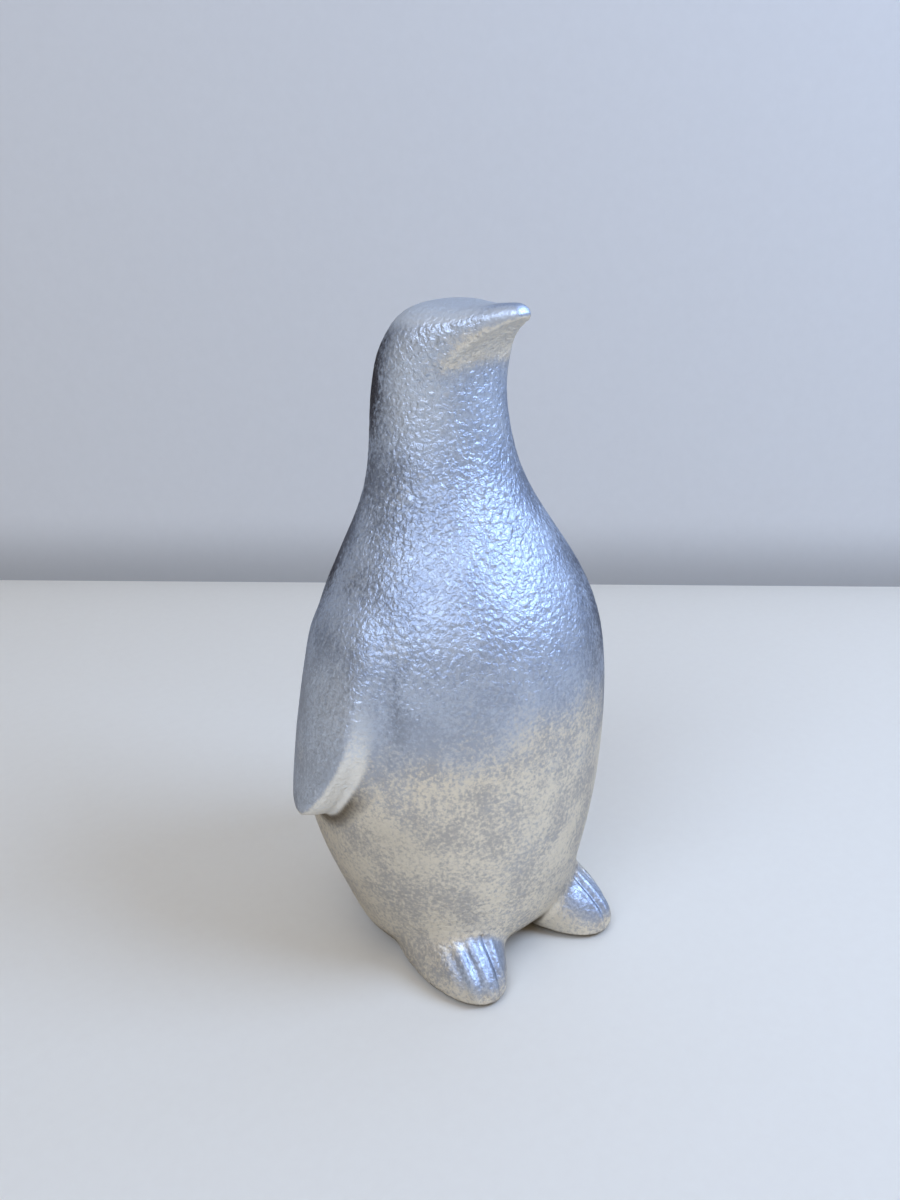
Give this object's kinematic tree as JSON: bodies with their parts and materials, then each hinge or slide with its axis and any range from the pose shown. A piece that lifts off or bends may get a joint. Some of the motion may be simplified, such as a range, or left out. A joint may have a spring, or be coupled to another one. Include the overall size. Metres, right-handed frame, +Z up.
{
  "type": "penguin figurine",
  "caption": "Free-standing penguin figurine with a silver, lightly hammered skin, folded flippers, toed feet and a short tail, hollow inside.",
  "frame": {"origin": "on the table top, at the middle of the figurine's outline seen from above", "axes": "+Z up, along the standing height; the penguin faces -Y; its own left side is +X"},
  "size_m": [0.0914, 0.0756, 0.1603],
  "materials": {
    "silver_body": "satin silver lustre over hammered clay",
    "silver_feet": "satin silver lustre over smooth clay",
    "soft_bung": "matte",
    "felt": "pressed felt"
  },
  "bodies": {
    "root": {"body_shell": "silver_body", "right_flipper": "silver_body", "left_flipper": "silver_body", "tail": "silver_body", "right_foot": "silver_feet", "left_foot": "silver_feet", "pour_hole_bung": "soft_bung", "right_foot_pad": "felt", "left_foot_pad": "felt", "tail_pad": "felt"}
  },
  "joints": []
}
